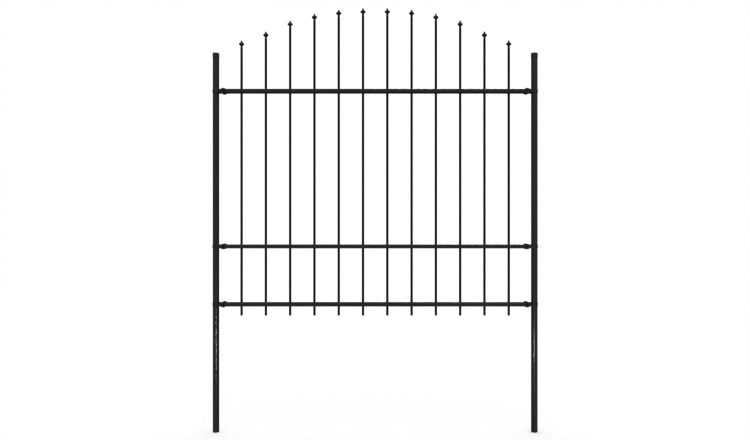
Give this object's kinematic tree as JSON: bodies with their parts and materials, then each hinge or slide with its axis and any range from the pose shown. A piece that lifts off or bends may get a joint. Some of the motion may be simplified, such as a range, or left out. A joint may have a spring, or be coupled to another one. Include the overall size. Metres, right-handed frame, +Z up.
{
  "type": "spear top steel fence panel",
  "caption": "Steel fence panel with round posts, flat-lying rails clamped to them, and thin round pickets whose spear heads rise in a bell curve.",
  "frame": {"origin": "centre of the left post's foot, on the plane of both posts' feet", "axes": "+X runs along the panel from the left post to the right post, +Y points to the back of the panel, where the nuts are, and +Z points up the posts"},
  "size_m": [1.7352, 0.0488, 2.2625],
  "materials": {
    "post_paint": "satin black powder coat on round steel tube",
    "rail_paint": "satin black powder coat on rectangular steel tube",
    "picket_paint": "satin black powder coat on thin round steel tube",
    "spear_head_paint": "satin black powder coat over a slightly rough casting",
    "clamp_paint": "satin black powder coat on bent steel strap",
    "screw_steel": "black oxide steel, low sheen",
    "cap_plastic": "fine-grained black moulded plastic"
  },
  "bodies": {
    "root": {"clamp_bottom_left": "clamp_paint", "clamp_bottom_right": "clamp_paint", "clamp_middle_left": "clamp_paint", "clamp_middle_right": "clamp_paint", "clamp_nuts": "screw_steel", "clamp_screws": "screw_steel", "clamp_top_left": "clamp_paint", "clamp_top_right": "clamp_paint", "picket_01": "picket_paint", "picket_02": "picket_paint", "picket_03": "picket_paint", "picket_04": "picket_paint", "picket_05": "picket_paint", "picket_06": "picket_paint", "picket_07": "picket_paint", "picket_08": "picket_paint", "picket_09": "picket_paint", "picket_10": "picket_paint", "picket_11": "picket_paint", "picket_12": "picket_paint", "post_cap_left": "cap_plastic", "post_cap_right": "cap_plastic", "post_left": "post_paint", "post_right": "post_paint", "rail_bottom": "rail_paint", "rail_middle": "rail_paint", "rail_top": "rail_paint", "spear_head_01": "spear_head_paint", "spear_head_02": "spear_head_paint", "spear_head_03": "spear_head_paint", "spear_head_04": "spear_head_paint", "spear_head_05": "spear_head_paint", "spear_head_06": "spear_head_paint", "spear_head_07": "spear_head_paint", "spear_head_08": "spear_head_paint", "spear_head_09": "spear_head_paint", "spear_head_10": "spear_head_paint", "spear_head_11": "spear_head_paint", "spear_head_12": "spear_head_paint"}
  },
  "joints": []
}
